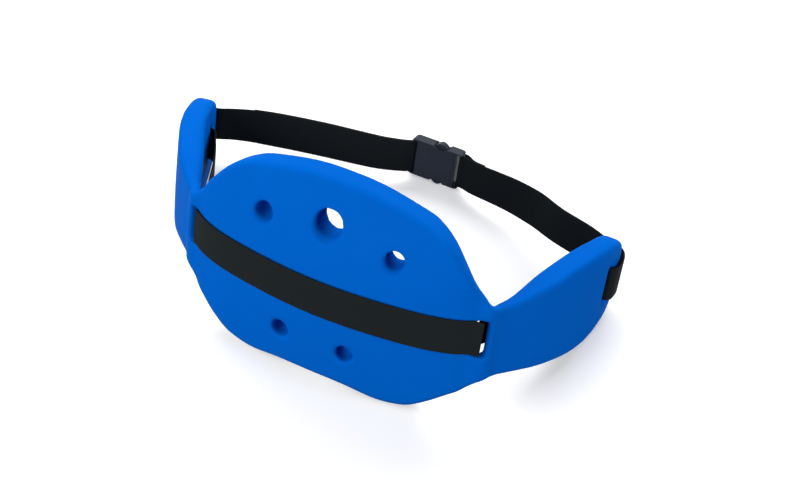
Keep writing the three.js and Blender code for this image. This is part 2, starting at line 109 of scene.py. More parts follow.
# Slots: width, height, corner radius, level.
HINGE_SLOT = (13.2, 41, 2.5, -3.1)
HINGE_SLOT_INWARD = 6.2
TIP_SLOT = (9, 44, 3, -5.5)
TIP_SLOT_ALONG = 164
TIP_RECESS = (14, 48, 5, -5.5)
TIP_RECESS_DEPTH = 2.5
CREASE_RADIUS = 12
CREASE_DEPTH = 0.6
# How far a cutter goes past the face that it leaves.
CUT_PAST = 8

# Strap over the panel: its level, and how far it stands off the foam and off its own second ply.
FRONT_LEVEL = -0.85
STAND_OFF = 0.6
PLY_GAP = 0.4
STRAP_STEPS = 8
STRAP_COLUMNS = 10
# Rounding of the strap's selvages as a share of its thickness, and angles that count as edges.
SELVAGE_SHARE, SELVAGE_ANGLE, STRAP_SMOOTH_ANGLE = 0.3, math.radians(60), math.radians(50)
# Strap from the hinge slot to the tip: along the wing's chord, out from its middle surface, level.
WING_ROUTE = (
    (-8, 6.4, -2.2),
    (-5.5, -2, -3.2),
    (1.5, -10, -4.2),
    (22, -13, -5),
    (46, -17.4, -5.2),
    (76, -22.8, -5.3),
    (110, -25, -5.4),
    (138, -22, -5.5),
    (156.5, -18, -5.5),
    (162.2, -12, -5.5),
    (164, 0, -5.5),
    (165.8, 11.5, -5.5),
    (169.6, 15.4, -5.5),
    (177, 16, -5.4),
    (185, 15.2, -5.1),
    (192, 13.2, -4.6),
    (198.5, 9.8, -3.9),
    (202.6, 4.6, -3.2),
    (204, -2, -2.5),
)
# Strap behind the waist from a tip to the buckle: across, depth, level, lean of the upper edge.
RIGHT_RUN = (
    (200, 244, -0.8, 1),
    (178, 252, 0, 5),
    (156, 258.7, 0.2, 7),
    (143, 263.1, 0.2, 7),
    (129, 269.6, 0.2, 8.2),
    (114, 277.4, 0.2, 9.4),
    (100, 282.5, 0.2, 9),
    (78, 288.2, 0.2, 6),
    (55, 291.3, 0.2, 2.8),
    (40, 292.8, 0.1, 1.5),
    (27, 295, 0, 1),
)
LEFT_RUN = (
    (-247, 219.8, -0.8, 0),
    (-230, 229.4, 0, 1),
    (-213, 238.2, 0.2, 4),
    (-190, 246.7, 0.2, 6.5),
    (-165, 254.6, 0.2, 7),
    (-133, 263.4, 0.2, 7),
    (-100, 271, 0.2, 5.5),
    (-76, 277.3, 0.2, 3.5),
    (-61, 283.8, 0.1, 1.5),
    (-51, 289.4, 0, 0),
    (-45, 293.8, 0, 0),
)
# First rows of the left and right runs that the free tail and the sewn end lie along.
TAIL_FROM = 2
SEWN_FROM = 9

# Buckle, along the strap from left to right.
BUCKLE_DEPTH = 301.2
SOCKET_FROM, SOCKET_TO, SOCKET_HEIGHT, SOCKET_THICK = -48.5, 3.5, 43, 13.5
SOCKET_CORNER, MOUTH_CORNER = 6, 1
PLATE_FROM, PLATE_THICK = -40, 2
CAVITY_FROM, CAVITY_HEIGHT, CAVITY_THICK = -25, 38, 8
WINDOW_FROM, WINDOW_TO, WINDOW_INNER, WINDOW_DIP = -21.5, -4, 15, 3.6
MOUTH_TO, MOUTH_HEIGHT = -28.5, 39.4
BAR_THICK, BAR_WIDTH, BAR_CORNER, BAR_PAST = 3.6, 4, 1.7, 1
SOCKET_BAR_AT, PLUG_BAR_AT = -35, 12
PLUG_FROM, PLUG_BASE, PLUG_TO, PLUG_HEIGHT, PLUG_THICK = -4, 3.7, 14, 43, 13.3
PLUG_CORNER, BASE_CORNER = 6, 1
STEM_HEIGHT, STEM_THICK = 37, 7
PLUG_WINDOW_FROM, PLUG_WINDOW_HEIGHT = 6.7, 39.4
PRONG_TO, PRONG_ROOT, PRONG_BELLY, PRONG_TIP, PRONG_WIDE, PRONG_THICK = -23.5, 11, 20.4, 13.5, 5.5, 6.2
PAD_CLEAR, PAD_FALL, PAD_CREST, PAD_SHOULDER, PAD_THICK = 0.8, 1.6, 3, 2.4, 7.6
TONGUE_TO, TONGUE_WIDE, TONGUE_THICK = -20, 6, 6.2
# How far joined pieces reach into each other, and the radius of a corner that is left square.
JOIN = 1
SQUARE_CORNER = 0.05
PRONG_BEVEL, CUT_BEVEL = 0.6, 0.25
BEVEL_SEGMENTS = 2
BEVEL_ANGLE, PLASTIC_SMOOTH_ANGLE = math.radians(50), math.radians(40)
DIP_SIDES = 96
ARCH_STEPS = 16
# Distances, in metres, under which corners are merged and edges dropped, and decimals of a level.
MERGE_WITHIN, DROP_WITHIN, LEVEL_DECIMALS = 1e-6, 1e-7, 7

# Stance on the table: place of the strap's middle line, lean and roll.
STANCE_PLACE = (20.58, -142.258, 108.917)
STANCE_LEAN, STANCE_ROLL = math.radians(-16.09), math.radians(-0.614)
STANCE = (
    Matrix.Translation(Vector(STANCE_PLACE) * MM)
    @ Matrix.Rotation(STANCE_LEAN, 4, "X")
    @ Matrix.Rotation(STANCE_ROLL, 4, "Y")
)
# Camera about the upright belt: azimuth, elevation and roll, focal length in pixels, aim and distance.
CAMERA_AZIMUTH, CAMERA_ELEVATION, CAMERA_ROLL = (math.radians(a) for a in (22.268, 33.051, 8.627))
FOCAL_PIXELS, IMAGE_WIDTH, SENSOR = 1557.643, 800, 36
AIM_RIGHT, AIM_UP, DISTANCE = 80.588, 41.466, 1443.45
# Studio lights round the belt: azimuth from the front, elevation, size in metres, share of the power.
LIGHTS = (
    (180, 40, 1.6, 0.46),
    (225, 40, 1.6, 0.35),
    (315, 40, 1.6, 0.42),
    (0, 15, 0.9, 0.27),
    (90, 15, 0.9, 0.34),
)
LIGHT_AWAY = 2.5
LIGHT_AIM = (0, 0, 0.08)
# Size of the floor, and distances from the belt between which its painted glow fades into the background,
# in metres.
FLOOR_SIZE = 12
FADE_FROM, FADE_TO = 0.9, 2.4

# Surfaces: specular level, noise scale and detail, shade at its darkest, bump strength and depth in metres.
FOAM_SPECULAR, FOAM_CLOUDS, FOAM_SHADE = 0.005, (45, 3), 0.94
FOAM_GRAIN, FOAM_BUMP = (1400, 2), (0.12, 0.0004)
WEB_ROUGHNESS, WEB_SPECULAR, WEB_SHADE, WEB_BUMP = 0.8, 0.04, 0.7, (0.35, 0.0003)
# Share of the ribs' rate at which the weft crosses them.
WEFT_SHARE = 0.7
PLASTIC_SPECULAR, PLASTIC_CLOUDS, PLASTIC_SHADE = 0.1, (300, 2), 0.9
PLASTIC_GRAIN, PLASTIC_BUMP = (2500, 1), (0.05, 0.0002)
FLOOR_ROUGHNESS, FLOOR_SPECULAR = 0.9, 0.1


class FloatSettings(bpy.types.PropertyGroup):
    """Finish of the foam float."""

    colour: bpy.props.FloatVectorProperty(
        name="Foam colour",
        description="Colour of the moulded foam",
        default=(0.0, 0.121, 0.585),
        min=0,
        max=1,
        size=3,
        subtype="COLOR",
    )
    edge_radius: bpy.props.FloatProperty(
        name="Edge radius",
        description="Rounding of the float's edges",
        default=0.006,
        min=0.002,
        max=0.012,
        unit="LENGTH",
        subtype="DISTANCE",
    )
    hole_flare: bpy.props.FloatProperty(
        name="Hole flare",
        description="Rounding where a vent hole leaves either face",
        default=0.0038,
        min=0.0005,
        max=0.006,
        unit="LENGTH",
        subtype="DISTANCE",
    )
    voxel: bpy.props.FloatProperty(
        name="Mesh size",
        description="Size of the faces that the moulded skin is made of",
        default=0.0019,
        min=0.0012,
        max=0.005,
        unit="LENGTH",
        subtype="DISTANCE",
    )
    roughness: bpy.props.FloatProperty(
        name="Roughness",
        description="How matte the foam's skin is",
        default=0.55,
        min=0,
        max=1,
        subtype="FACTOR",
    )


class StrapSettings(bpy.types.PropertyGroup):
    """Sizes and finish of the webbing strap."""

    colour: bpy.props.FloatVectorProperty(
        name="Webbing colour",
        description="Colour of the woven strap",
        default=(0.0138, 0.0178, 0.0195),
        min=0,
        max=1,
        size=3,
        subtype="COLOR",
    )
    width: bpy.props.FloatProperty(
        name="Width",
        description="Width of the webbing",
        default=0.038,
        min=0.02,
        max=0.04,
        unit="LENGTH",
        subtype="DISTANCE",
    )
    thick: bpy.props.FloatProperty(
        name="Thickness",
        description="Thickness of the webbing",
        default=0.0016,
        min=0.0008,
        max=0.0016,
        unit="LENGTH",
        subtype="DISTANCE",
    )
    rib: bpy.props.FloatProperty(
        name="Rib pitch",
        description="Distance between two ribs of the weave",
        default=0.0014,
        min=0.0005,
        max=0.004,
        unit="LENGTH",
        subtype="DISTANCE",
    )


class BuckleSettings(bpy.types.PropertyGroup):
    """Finish of both buckle halves."""

    colour: bpy.props.FloatVectorProperty(
        name="Plastic colour",
        description="Colour of the moulded plastic",
        default=(0.029, 0.0355, 0.05),
        min=0,
        max=1,
        size=3,
        subtype="COLOR",
    )
    bevel: bpy.props.FloatProperty(
        name="Edge rounding",
        description="Rounding of the plastic's outer edges",
        default=0.0008,
        min=0.0002,
        max=0.0015,
        unit="LENGTH",
        subtype="DISTANCE",
    )
    roughness: bpy.props.FloatProperty(
        name="Roughness",
        description="How satin the plastic is",
        default=0.38,
        min=0,
        max=1,
        subtype="FACTOR",
    )


class StageSettings(bpy.types.PropertyGroup):
    """Floor and light."""

    floor_colour: bpy.props.FloatVectorProperty(
        name="Floor colour",
        description="Colour of the pale floor",
        default=(0.9, 0.9, 0.9),
        min=0,
        max=1,
        size=3,
        subtype="COLOR",
    )
    light_power: bpy.props.FloatProperty(
        name="Studio lights",
        description="Power that the shares of all studio lights are taken of",
        default=100,
        min=0,
        max=400,
        unit="POWER",
    )
    background: bpy.props.FloatProperty(
        name="Background",
        description="How bright the white surroundings look",
        default=1.2,
        min=0,
        max=3,
    )
    # Painted light: the floor's own emission near the belt, which lightens its shadow; the floor is no
    # lamp.
    painted_floor_light: bpy.props.FloatProperty(
        name="Floor glow",
        description="How much the floor near the belt shines by itself, as a backlit studio floor does",
        default=0.3,
        min=0,
        max=2,
    )


def through(points, shares):
    """Places on the smooth curve through points, at shares of the way along it."""
    points = np.asarray(points, float)
    last = len(points) - 1
    at = np.clip(np.asarray(shares, float), 0, 1) * last
    row = np.minimum(at.astype(int), last)
    part = (at - row)[:, None]
    before = points[np.maximum(row - 1, 0)]
    start = points[row]
    end = points[np.minimum(row + 1, last)]
    after = points[np.minimum(row + 2, last)]
    leave = (end - before) / 2
    arrive = (after - start) / 2
    cubic = 2 * start - 2 * end + leave + arrive
    square = -3 * start + 3 * end - 2 * leave - arrive
    return ((cubic * part + square) * part + leave) * part + start


def wing_place(side, along, out):
    """A place out from a wing's middle surface, in plan."""
    heading, most = WINGS[side]
    share = along / WING_LENGTH
    bulge = 4 * most * share * (1 - share)
    slope = 4 * most * (1 - 2 * share) / WING_LENGTH
    stretch = math.hypot(1, slope)
    forward = along - out * slope / stretch
    aside = bulge + out / stretch
    cosine, sine = math.cos(heading), math.sin(heading)
    x = side * (WING_ACROSS + forward * cosine + aside * sine)
    return x, WING_DEPTH + forward * sine - aside * cosine


def half_rows(side):
    """Rows of one half of the float from the middle to the tip: x, y, top, bottom, thick."""
    panel = [(side * across, depth, top, bottom, thick) for across, depth, top, bottom, thick in PANEL_ROWS]
    wing = [(*wing_place(side, along, out), *edges) for along, out, *edges in WING_ROWS]
    return panel + wing


FLOAT_ROWS = np.array(half_rows(-1)[:0:-1] + half_rows(1))
LAST_ROW = len(FLOAT_ROWS) - 1
MIDDLE_ROW = LAST_ROW // 2


def float_frames(shares):
    """Place, direction, outward normal, top, bottom and thickness of the float's sections."""
    shares = np.atleast_1d(np.asarray(shares, float))
    rows = through(FLOAT_ROWS, shares)
    plan = FLOAT_ROWS[:, :2]
    along = through(plan, shares + DIRECTION_STEP) - through(plan, shares - DIRECTION_STEP)
    along /= np.linalg.norm(along, axis=1)[:, None]
    outward = np.stack([along[:, 1], -along[:, 0]], axis=1)
    return rows[:, :2], along, outward, rows[:, 2], rows[:, 3], rows[:, 4]


def share_across(across):
    """The share at which the float's middle surface reaches a place across the belt."""
    low, high = 0.0, 1.0
    for _ in range(HALVINGS):
        middle = (low + high) / 2
        if through(FLOAT_ROWS[:, :2], [middle])[0, 0] < across:
            low = middle
        else:
            high = middle
    return low


def swept(points):
    """The panel's backward sweep above and below the strap."""
    fade = np.clip((SWEEP_NONE - np.abs(points[..., 0])) / (SWEEP_NONE - SWEEP_FULL), 0, 1)
    amount = np.where(points[..., 2] > 0, SWEEP_ABOVE, SWEEP_BELOW)
    points[..., 1] += amount * (points[..., 2] / SWEEP_HEIGHT) ** 2 * fade
    return points


def section_template():
    """Points round a section as shares of its straight half sides and of its corner radius."""
    template = []
    for out, up, start in ((1, 1, 0), (-1, 1, 90), (-1, -1, 180), (1, -1, 270)):
        for step in range(CORNER_STEPS + 1):
            angle = math.radians(start + 90 * step / CORNER_STEPS)
            template.append((out, up, math.cos(angle), math.sin(angle)))
        if out == up:
            for step in range(1, RIM_STEPS):
                template.append((out * (1 - 2 * step / RIM_STEPS), up, 0, up))
        else:
            for step in range(1, FACE_STEPS):
                template.append((out, up * (1 - 2 * step / FACE_STEPS), out, 0))
    return np.array(template)


def float_skin(shares, edge_radius):
    """Rings of points round the float's sections, in millimetres."""
    place, _, outward, top, bottom, thick = float_frames(shares)
    half = thick[:, None] / 2
    middle = (top + bottom)[:, None] / 2
    reach = np.maximum(top - bottom, 0)[:, None] / 2
    radius = np.minimum(edge_radius, EDGE_SHARE * 2 * np.minimum(half, reach))
    shape = section_template()
    out = shape[:, 0] * (half - radius) + shape[:, 2] * radius
    rise = shape[:, 1] * (reach - radius) + shape[:, 3] * radius
    crown = 1 - CROWN * (rise / np.maximum(reach, SMALLEST_REACH)) ** 2
    out = np.where(out > 0, out * crown, out)
    points = np.empty(out.shape + (3,))
    points[..., 0] = place[:, :1] + outward[:, :1] * out
    points[..., 1] = place[:, 1:] + outward[:, 1:] * out
    points[..., 2] = middle + rise
    return swept(points)


def alone(thing):
    """Makes one object the only selected one, and active."""
    bpy.ops.object.select_all(action="DESELECT")
    thing.select_set(True)
    bpy.context.view_layer.objects.active = thing


def named(name):
    """Gives the object that was just added, and its mesh, a name."""
    thing = bpy.context.active_object
    thing.name = name
    thing.data.name = name
    return thing


def apply_modifier(thing, kind, **settings):
    """Adds one modifier with its settings and applies it."""
    alone(thing)
    modifier = thing.modifiers.new(kind.lower(), kind)
    for key, value in settings.items():
        setattr(modifier, key, value)
    bpy.ops.object.modifier_apply(modifier=modifier.name)


def cut(body, cutter, operation="DIFFERENCE"):
    """Cuts one closed mesh with another, or joins them, and removes the tool."""
    apply_modifier(body, "BOOLEAN", operation=operation, object=cutter, solver="MANIFOLD")
    mesh = cutter.data
    bpy.data.objects.remove(cutter)
    bpy.data.meshes.remove(mesh)
    if not body.data.polygons:
        raise RuntimeError(f"{body.name} was lost in a cut")


def grid_laid(name, laid):
    """A grid with one corner for each point of laid, moved onto those points, in millimetres."""
    rows, columns = laid.shape[0] - 1, laid.shape[1] - 1
    bpy.ops.object.select_all(action="DESELECT")
    bpy.ops.mesh.primitive_grid_add(x_subdivisions=rows, y_subdivisions=columns, size=1)
    thing = named(name)
    places = np.empty(len(thing.data.vertices) * 3)
    thing.data.vertices.foreach_get("co", places)
    places = places.reshape(-1, 3)
    row = np.rint((places[:, 0] + 0.5) * rows).astype(int)
    column = np.rint((places[:, 1] + 0.5) * columns).astype(int)
    thing.data.vertices.foreach_set("co", (laid[row, column] * MM).ravel())
    thing.data.update()
    return thing


def closed_up(thing):
    """Merges the seams of a mesh and turns its faces outwards."""
    alone(thing)
    bpy.ops.object.mode_set(mode="EDIT")
    bpy.ops.mesh.select_all(action="SELECT")
    bpy.ops.mesh.remove_doubles(threshold=MERGE_WITHIN)
    bpy.ops.mesh.dissolve_degenerate(threshold=DROP_WITHIN)
    bpy.ops.mesh.normals_make_consistent(inside=False)
    bpy.ops.object.mode_set(mode="OBJECT")


def placed(thing, matrix):
    """Moves an object and applies the move, so that its place is in its mesh."""
    alone(thing)
    thing.matrix_world = matrix
    bpy.ops.object.transform_apply(location=True, rotation=True, scale=True)


def slab(name, outline, thick, bevel=0.0):
    """A flat plate of an outline in X and Y, centred in Z: a circle's corners are set on the outline,
    the face is extruded, and its rims are bevelled."""
    bpy.ops.object.select_all(action="DESELECT")
    bpy.ops.mesh.primitive_circle_add(vertices=len(outline), radius=1, fill_type="NGON")
    thing = named(name)
    for vertex, (x, y) in zip(thing.data.vertices, outline):
        vertex.co = (x * MM, y * MM, -thick / 2 * MM)
    bpy.ops.object.mode_set(mode="EDIT")
    bpy.ops.mesh.select_all(action="SELECT")
    bpy.ops.mesh.extrude_region_move(TRANSFORM_OT_translate={"value": (0, 0, thick * MM)})
    bpy.ops.mesh.select_all(action="SELECT")
    bpy.ops.mesh.normals_make_consistent(inside=False)
    if bevel:
        select_rims(thing)
        bpy.ops.mesh.bevel(offset=bevel * MM, segments=BEVEL_SEGMENTS, affect="EDGES", clamp_overlap=True)
    bpy.ops.object.mode_set(mode="OBJECT")
    return thing


def select_rims(thing):
    """Selects the edges between a plate's flat faces and its sides, in edit mode."""
    bpy.ops.mesh.select_mode(type="EDGE")
    mesh = bmesh.from_edit_mesh(thing.data)
    for edge in mesh.edges:
        edge.select = len({round(vertex.co.z, LEVEL_DECIMALS) for vertex in edge.verts}) == 1
    mesh.select_flush_mode()
    bmesh.update_edit_mesh(thing.data)


def rounded_outline(width, height, right, left=None):
    """Points round a rectangle with round corners, about its middle."""
    left = right if left is None else left
    corners = ((1, 1, right, 0), (-1, 1, left, 90), (-1, -1, left, 180), (1, -1, right, 270))
    outline = []
    for x, y, radius, start in corners:
        for step in range(CORNER_STEPS + 1):
            angle = math.radians(start + 90 * step / CORNER_STEPS)
            across = x * (width / 2 - radius) + radius * math.cos(angle)
            outline.append((across, y * (height / 2 - radius) + radius * math.sin(angle)))
    return outline


def seat(along, outward, place, height):
    """The frame of a section: its own direction, up and its outward normal."""
    columns = ((along[0], along[1], 0), (0, 0, 1), (outward[0], outward[1], 0))
    turn = Matrix(columns).transposed().to_4x4()
    return Matrix.Translation(Vector((place[0], place[1], height)) * MM) @ turn


def hole_cutter(across, height, diameter, flare):
    """A round cutter through the panel, flared at both faces: a circle extruded ring by ring."""
    place, along, outward, _, _, thick = (values[0] for values in float_frames(share_across(across)))
    face = thick / 2
    radius = diameter / 2
    profile = [(radius + flare, -face - CUT_PAST)]
    for end in (-1, 1):
        for step in range(FLARE_STEPS + 1):
            turn = step if end < 0 else FLARE_STEPS - step
            angle = math.pi / 2 * turn / FLARE_STEPS
            inset = flare * (1 - math.cos(angle))
            profile.append((radius + flare * (1 - math.sin(angle)), end * (face - inset)))
    profile.append((radius + flare, face + CUT_PAST))
    bpy.ops.object.select_all(action="DESELECT")
    first_wide, first_low = profile[0]
    bpy.ops.mesh.primitive_circle_add(
        vertices=HOLE_SIDES,
        radius=first_wide * MM,
        fill_type="NGON",
        location=(0, 0, first_low * MM),
    )
    cutter = named("hole_cutter")
    bpy.ops.object.transform_apply(location=True)
    bpy.ops.object.mode_set(mode="EDIT")
    bpy.ops.mesh.select_all(action="SELECT")
    for (wide, low), (next_wide, high) in zip(profile, profile[1:]):
        bpy.ops.mesh.extrude_region_move(TRANSFORM_OT_translate={"value": (0, 0, (high - low) * MM)})
        grow = next_wide / wide
        bpy.ops.transform.resize(value=(grow, grow, 1), center_override=(0, 0, high * MM))
    bpy.ops.object.mode_set(mode="OBJECT")
    closed_up(cutter)
    centre = swept(np.array([[place[0], place[1], height]]))[0]
    placed(cutter, seat(along, outward, centre[:2], height))
    return cutter


def slot_cutter(share, slot, shift, low, high):
    """A slot through a section, from one depth out of it to another."""
    place, along, outward = (values[0] for values in float_frames(share)[:3])
    width, height, corner, level = slot
    cutter = slab("slot_cutter", rounded_outline(width, height, corner), high - low)
    moved = Matrix.Translation(Vector((shift, 0, (low + high) / 2)) * MM)
    placed(cutter, seat(along, outward, place, level) @ moved)
    return cutter


def crease_cutter(share):
    """An upright round bar that leaves a shallow crease down the outer face at a hinge."""
    place, _, outward, _, _, thick = (values[0] for values in float_frames(share))
    out = thick / 2 + CREASE_RADIUS - CREASE_DEPTH
    centre = place + outward * out
    bpy.ops.object.select_all(action="DESELECT")
    bpy.ops.mesh.primitive_cylinder_add(
        vertices=HOLE_SIDES,
        radius=CREASE_RADIUS * MM,
        depth=2 * (HINGE_TOP - HINGE_BOTTOM) * MM,
        location=(centre[0] * MM, centre[1] * MM, 0),
    )
    cutter = named("crease_cutter")
    bpy.ops.object.transform_apply(location=True)
    return cutter


def strap_route():
    """The strap's middle line from the free tail to the sewn end: across, depth, level, lean."""
    settings = bpy.context.scene.belt_strap
    strap_thick = settings.thick / MM
    ply = strap_thick + PLY_GAP
    wrap = BAR_THICK / 2 + PLY_GAP + strap_thick / 2

    def turn(at, side):
        edge = at - side * (BAR_WIDTH / 2 + PLY_GAP + strap_thick / 2)
        return [
            (at + side * BAR_WIDTH, BUCKLE_DEPTH - wrap, 0, 0),
            (at - side * BAR_WIDTH / 4, BUCKLE_DEPTH - wrap, 0, 0),
            (edge, BUCKLE_DEPTH, 0, 0),
            (at - side * BAR_WIDTH / 4, BUCKLE_DEPTH + wrap, 0, 0),
            (at + side * BAR_WIDTH, BUCKLE_DEPTH + wrap, 0, 0),
        ]

    def behind(run, start):
        return [(across, depth + ply, level, lean) for across, depth, level, lean in run[start:]]

    def wing(side):
        return [(*wing_place(side, along, out), level, 0) for along, out, level in WING_ROUTE]

    front = []
    panel = len(PANEL_ROWS) - 2
    for row in range(MIDDLE_ROW - panel, MIDDLE_ROW + panel + 1):
        place, _, outward, _, _, thick = (values[0] for values in float_frames(row / LAST_ROW))
        across, depth = place + outward * (thick / 2 + STAND_OFF + strap_thick / 2)
        front.append((across, depth, FRONT_LEVEL, 0))
    return np.array(
        behind(LEFT_RUN, TAIL_FROM)
        + turn(SOCKET_BAR_AT, -1)[::-1]
        + list(LEFT_RUN)[::-1]
        + wing(-1)[::-1]
        + front
        + wing(1)
        + list(RIGHT_RUN)
        + turn(PLUG_BAR_AT, 1)
        + behind(RIGHT_RUN, SEWN_FROM)[::-1]
    )


def eased(points, steps):
    """Places on the smooth curve through unevenly spaced points, so many for each stretch."""
    points = np.vstack([2 * points[0] - points[1], points, 2 * points[-1] - points[-2]])
    spans = np.sqrt(np.linalg.norm(np.diff(points[:, :3], axis=0), axis=1))
    places = []
    for row in range(1, len(points) - 2):
        before, start, end, after = points[row - 1 : row + 3]
        first, span, last = spans[row - 1 : row + 2]
        leave = (start - before) / first - (end - before) / (first + span) + (end - start) / span
        arrive = (end - start) / span - (after - start) / (span + last) + (after - end) / last
        leave, arrive = leave * span, arrive * span
        for part in np.arange(steps) / steps:
            square = -3 * start + 3 * end - 2 * leave - arrive
            cubic = 2 * start - 2 * end + leave + arrive
            places.append(((cubic * part + square) * part + leave) * part + start)
    places.append(points[-2])
    return np.array(places)


def material_of(name, colour, roughness, specular):
    """A new material with one shader, and its nodes and links."""
    material = bpy.data.materials.new(name)
    material.use_nodes = True
    nodes, links = material.node_tree.nodes, material.node_tree.links
    shader = nodes["Principled BSDF"]
    shader.inputs["Base Color"].default_value = (*colour, 1)
    shader.inputs["Roughness"].default_value = roughness
    shader.inputs["Specular IOR Level"].default_value = specular
    return material, nodes, links, shader


def math_node(nodes, links, operation, first, second=None):
    """A Math node fed by sockets or numbers, and its result."""
    node = nodes.new("ShaderNodeMath")
    node.operation = operation
    for socket, value in zip(node.inputs, (first, second)):
        if value is None:
            continue
        if isinstance(value, (int, float)):
            socket.default_value = value
        else:
            links.new(value, socket)
    return node.outputs[0]


def noise(nodes, links, scale, detail):
    """Noise on Object coordinates."""
    where = nodes.new("ShaderNodeTexCoord")
    node = nodes.new("ShaderNodeTexNoise")
    node.inputs["Scale"].default_value = scale
    node.inputs["Detail"].default_value = detail
    links.new(where.outputs["Object"], node.inputs["Vector"])
    return node.outputs["Fac"]


def bump(nodes, links, shader, height, strength, distance):
    """Feeds a height to the shader's normal."""
    node = nodes.new("ShaderNodeBump")
    node.inputs["Strength"].default_value = strength
    node.inputs["Distance"].default_value = distance
    links.new(height, node.inputs["Height"])
    links.new(node.outputs["Normal"], shader.inputs["Normal"])


def shaded(nodes, links, shader, colour, factor, dark):
    """Varies the base colour between a darker shade and the full colour."""
    mix = nodes.new("ShaderNodeMix")
    mix.data_type = "RGBA"
    links.new(factor, mix.inputs["Factor"])
    mix.inputs["A"].default_value = (*(dark * value for value in colour), 1)
    mix.inputs["B"].default_value = (*colour, 1)
    links.new(mix.outputs["Result"], shader.inputs["Base Color"])


def foam_material():
    """Moulded closed-cell foam: matte, with a fine grain and slight clouds in its colour."""
    settings = bpy.context.scene.belt_float
    colour = tuple(settings.colour)
    material, nodes, links, shader = material_of("moulded_foam", colour, settings.roughness, FOAM_SPECULAR)
    shaded(nodes, links, shader, colour, noise(nodes, links, *FOAM_CLOUDS), FOAM_SHADE)
    bump(nodes, links, shader, noise(nodes, links, *FOAM_GRAIN), *FOAM_BUMP)
    return material


def webbing_material():
    """Woven webbing: ribs along the strap crossed by the weft, on the strap's own UV map."""
    settings = bpy.context.scene.belt_strap
    colour = tuple(settings.colour)
    material, nodes, links, shader = material_of("woven_webbing", colour, WEB_ROUGHNESS, WEB_SPECULAR)
    weave = nodes.new("ShaderNodeUVMap")
    weave.uv_map = "weave"
    split = nodes.new("ShaderNodeSeparateXYZ")
    links.new(weave.outputs["UV"], split.inputs["Vector"])
    turns = 2 * math.pi / settings.rib
    waves = []
    for axis, rate in (("Y", turns), ("X", turns * WEFT_SHARE)):
        phase = math_node(nodes, links, "MULTIPLY", split.outputs[axis], rate)
        waves.append(math_node(nodes, links, "SINE", phase))
    cross = math_node(nodes, links, "MULTIPLY", *waves)
    height = math_node(nodes, links, "MULTIPLY_ADD", cross, 0.5)
    height.node.inputs[2].default_value = 0.5
    shaded(nodes, links, shader, colour, height, WEB_SHADE)
    bump(nodes, links, shader, height, *WEB_BUMP)
    return material


def plastic_material():
    """Satin moulded plastic with a fine spark-eroded grain."""
    settings = bpy.context.scene.belt_buckle
    colour = tuple(settings.colour)
    roughness = settings.roughness
    material, nodes, links, shader = material_of("moulded_plastic", colour, roughness, PLASTIC_SPECULAR)
    shaded(nodes, links, shader, colour, noise(nodes, links, *PLASTIC_CLOUDS), PLASTIC_SHADE)
    bump(nodes, links, shader, noise(nodes, links, *PLASTIC_GRAIN), *PLASTIC_BUMP)
    return material


def shared_plastic():
    """The buckle's material, made once."""
    return bpy.data.materials.get("moulded_plastic") or plastic_material()


def dressed(thing, node, material):
    """Sets a finished piece down in its place, gives it its material, hangs it on the root body and hides
    its CAD node.
    """
    placed(thing, STANCE)
    thing.data.materials.clear()
    thing.data.materials.append(material)
    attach(thing, "root")
    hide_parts(node)


class BELT_OT_foam_float(bpy.types.Operator):
    """Lay a grid round the float's sections, cut its holes, slots and creases, and round it off"""

    bl_idname = "belt.foam_float"
    bl_label = "Foam float"

    def execute(self, context):
        settings = context.scene.belt_float
        rings = np.linspace(0, 1, RINGS_PER_ROW * LAST_ROW + 1)
        skin = float_skin(rings, settings.edge_radius / MM)
        skin = np.concatenate([skin, skin[:, :1]], axis=1)
        body = grid_laid("moulded_float", skin)
        closed_up(body)
        for hole in HOLES:
            cut(body, hole_cutter(*hole, settings.hole_flare / MM))
        for side in (-1, 1):
            hinge = (MIDDLE_ROW + side * (len(PANEL_ROWS) - 1)) / LAST_ROW
            tip = share_across(wing_place(side, TIP_SLOT_ALONG, 0)[0])
            face = float_frames(tip)[5][0] / 2
            cut(body, crease_cutter(hinge))
            cut(body, slot_cutter(hinge, HINGE_SLOT, -side * HINGE_SLOT_INWARD, -HINGE_THICK, HINGE_THICK))
            cut(body, slot_cutter(tip, TIP_SLOT, 0, -face - CUT_PAST, face + CUT_PAST))
            cut(body, slot_cutter(tip, TIP_RECESS, 0, face - TIP_RECESS_DEPTH, face + CUT_PAST))
        apply_modifier(body, "REMESH", mode="VOXEL", voxel_size=settings.voxel, adaptivity=0)
        apply_modifier(body, "SMOOTH", factor=SMOOTH_FACTOR, iterations=SMOOTH_ROUNDS)
        alone(body)
        bpy.ops.object.shade_smooth()
        dressed(body, "foam_float", foam_material())
        return {"FINISHED"}


